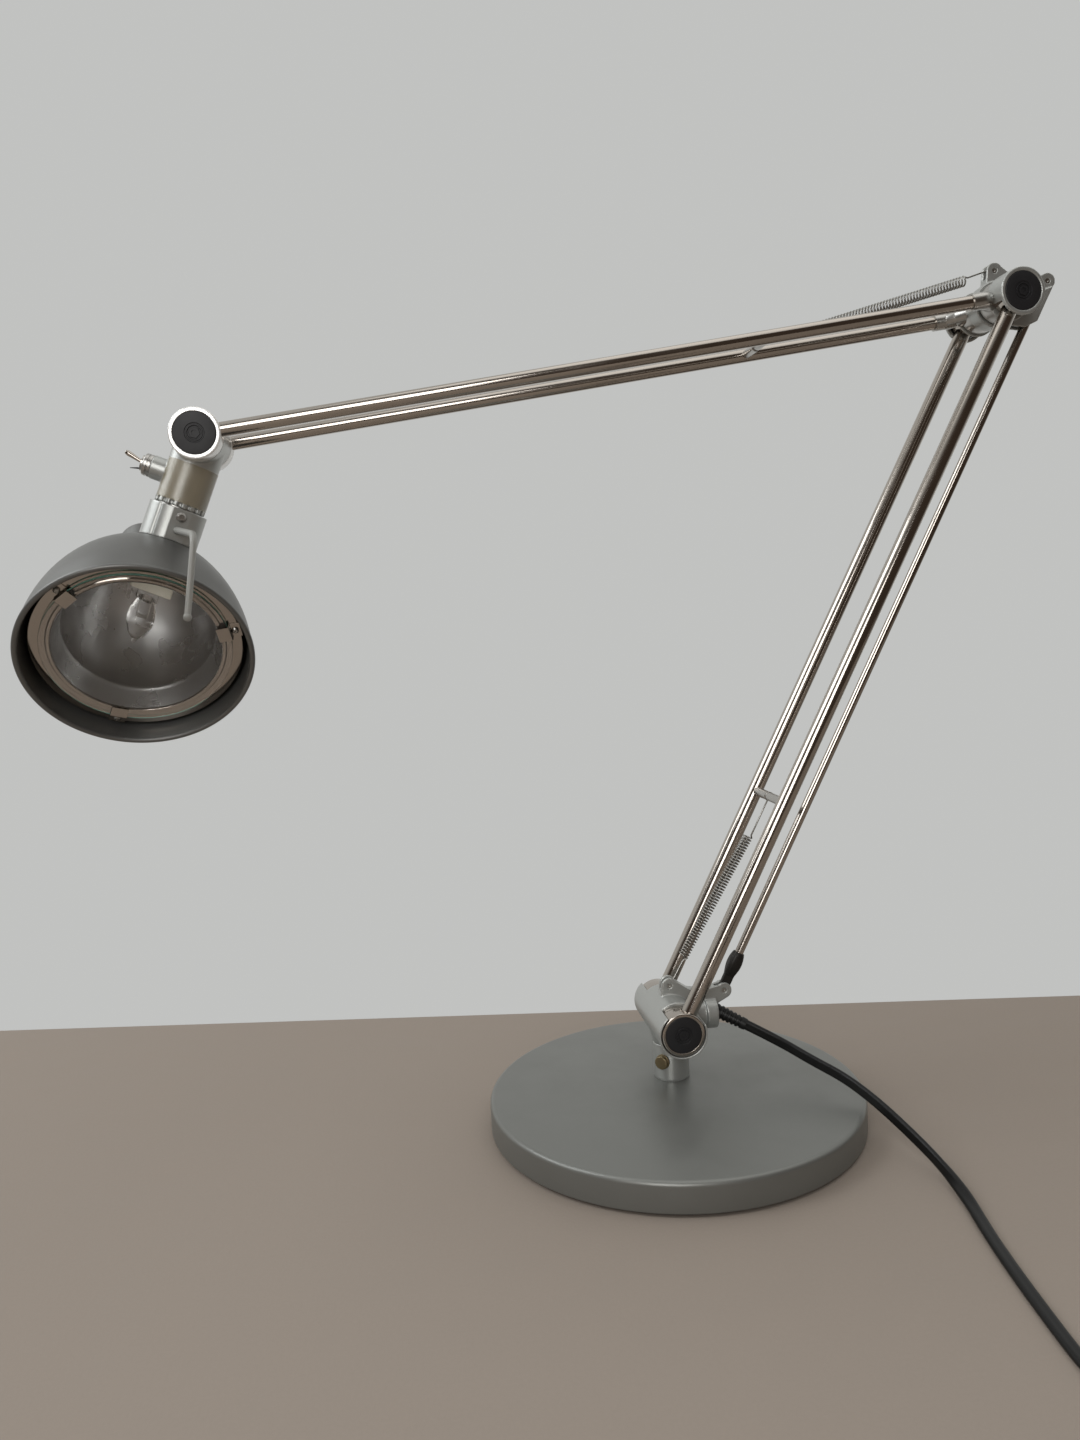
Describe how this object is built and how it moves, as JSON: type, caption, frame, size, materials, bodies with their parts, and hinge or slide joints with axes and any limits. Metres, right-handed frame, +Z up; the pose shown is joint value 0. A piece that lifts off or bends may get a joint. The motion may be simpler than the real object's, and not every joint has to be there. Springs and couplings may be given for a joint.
{
  "type": "architect desk lamp",
  "caption": "Spring-balanced architect desk lamp: round weighted base, twin-tube chrome arms with a parallel rod, and a swivelling domed shade with switch and cord.",
  "frame": {"origin": "where the post's axis meets the base's underside, on the surface the lamp stands on; the round base is set off centre by 3 mm to -X and 18 mm to -Y", "axes": "+Z up; the arms swing in the XZ plane, the elbow leans to +X and the head reaches to -X; pivot axes along Y; the lamp is seen from -Y"},
  "size_m": [0.614, 0.4537, 0.5069],
  "materials": {
    "silver_paint": "satin silver-grey paint over a light alloy casting",
    "base_paint": "satin silver paint, fine metallic flake",
    "shade_paint": "satin silver-grey paint over spun sheet",
    "cast_weight": "rough cast",
    "black_pad": "matt",
    "chrome_tube": "bright chrome plate",
    "steel": "turned steel",
    "spring_steel": "drawn wire, nickel plated",
    "bronze": "dark bronze finish",
    "black_cap": "fine matt moulded texture",
    "black_fitting": "matt black",
    "nylon": "natural nylon",
    "cord_black": "satin flexible PVC",
    "pin_nickel": "nickel plated",
    "reflector_metal": "satin anodised reflector",
    "ring_chrome": "polished",
    "clear_glass": "clear, polished edge",
    "bulb_glass": "clear",
    "ceramic": "unglazed cream",
    "handle_plastic": "frosted grey sleeve"
  },
  "bodies": {
    "base": {"base_pad": "black_pad", "base_shell": "base_paint", "base_weight": "cast_weight", "base_post": "silver_paint", "post_screw": "steel", "post_bush": "nylon", "clamp_screw": "bronze"},
    "bracket": {"lower_bracket": "silver_paint", "bracket_spigot": "steel", "lower_axle": "steel", "lower_axle_nuts": "steel", "lower_ear_screws": "steel", "cord_gland": "cord_black", "cord_tube": "cord_black", "cord_coil": "cord_black", "plug_body": "cord_black", "plug_pins": "pin_nickel"},
    "lower_arm": {"lower_tube_near": "chrome_tube", "lower_tube_far": "chrome_tube", "lower_foot_hubs": "chrome_tube", "lower_top_hubs": "chrome_tube", "lower_bushes": "nylon", "lower_caps": "black_cap", "lower_cross_pin": "steel", "lower_spring": "spring_steel"},
    "parallel_rod": {"parallel_rod": "chrome_tube", "rod_foot": "black_fitting"},
    "elbow_bracket": {"elbow_bracket": "silver_paint", "elbow_axle": "steel", "elbow_axle_nuts": "steel", "elbow_ear_screws": "steel", "elbow_caps": "black_cap"},
    "upper_arm": {"upper_tube_near": "chrome_tube", "upper_tube_far": "chrome_tube", "upper_elbow_hubs": "chrome_tube", "upper_head_hubs": "chrome_tube", "upper_cross_pin": "steel", "head_caps": "black_cap", "head_bushes": "nylon", "upper_spring": "spring_steel"},
    "head_neck": {"neck": "silver_paint", "neck_sleeve": "steel", "head_axle": "steel", "head_axle_nuts": "steel", "switch_body": "steel", "switch_nut": "steel"},
    "switch_lever": {"switch_lever": "ring_chrome"},
    "shade": {"shade": "shade_paint", "shade_cap": "shade_paint", "collar": "silver_paint", "collar_screw": "steel", "handle_rod": "handle_plastic", "reflector": "reflector_metal", "glass_ring": "ring_chrome", "ring_posts": "reflector_metal", "cover_glass": "clear_glass", "glass_clips": "ring_chrome", "clip_screws": "steel", "lamp_holder": "ceramic", "bulb": "bulb_glass"}
  },
  "joints": [
    {"name": "post_swivel", "type": "hinge", "parent": "base", "child": "bracket", "pos_m": [0, 0, 0.032], "axis": [0, 0, 1], "range_deg": [-160, 160]},
    {"name": "lower_arm_hinge", "type": "hinge", "parent": "bracket", "child": "lower_arm", "pos_m": [0, 0, 0.0566], "axis": [0, 1, 0], "range_deg": [-42, 10], "deforming": ["lower_spring"]},
    {"name": "parallel_rod_hinge", "type": "hinge", "parent": "bracket", "child": "parallel_rod", "pos_m": [0.0345, 0, 0.0706], "axis": [0, 1, 0], "range_deg": [-42, 10]},
    {"name": "elbow_bracket_hinge", "type": "hinge", "parent": "lower_arm", "child": "elbow_bracket", "pos_m": [0.21946, 0, 0.4818], "axis": [0, 1, 0], "range_deg": [-10, 42]},
    {"name": "upper_arm_hinge", "type": "hinge", "parent": "elbow_bracket", "child": "upper_arm", "pos_m": [0.21946, 0, 0.4818], "axis": [0, 1, 0], "range_deg": [-12, 70], "deforming": ["upper_spring"]},
    {"name": "head_hinge", "type": "hinge", "parent": "upper_arm", "child": "head_neck", "pos_m": [-0.25414, 0, 0.41356], "axis": [0, 1, 0], "range_deg": [-55, 55]},
    {"name": "shade_swivel", "type": "hinge", "parent": "head_neck", "child": "shade", "pos_m": [-0.25414, 0, 0.41356], "axis": [-0.3843, 0, -0.9232], "range_deg": [-100, 100]},
    {"name": "switch_toggle", "type": "hinge", "parent": "head_neck", "child": "switch_lever", "pos_m": [-0.28551, 0, 0.4017], "axis": [0, -1, 0], "range_deg": [0, 26]}
  ],
  "couplings": [
    {"joint": "parallel_rod_hinge", "follows": "lower_arm_hinge", "ratio": 1},
    {"joint": "elbow_bracket_hinge", "follows": "lower_arm_hinge", "ratio": -1}
  ]
}
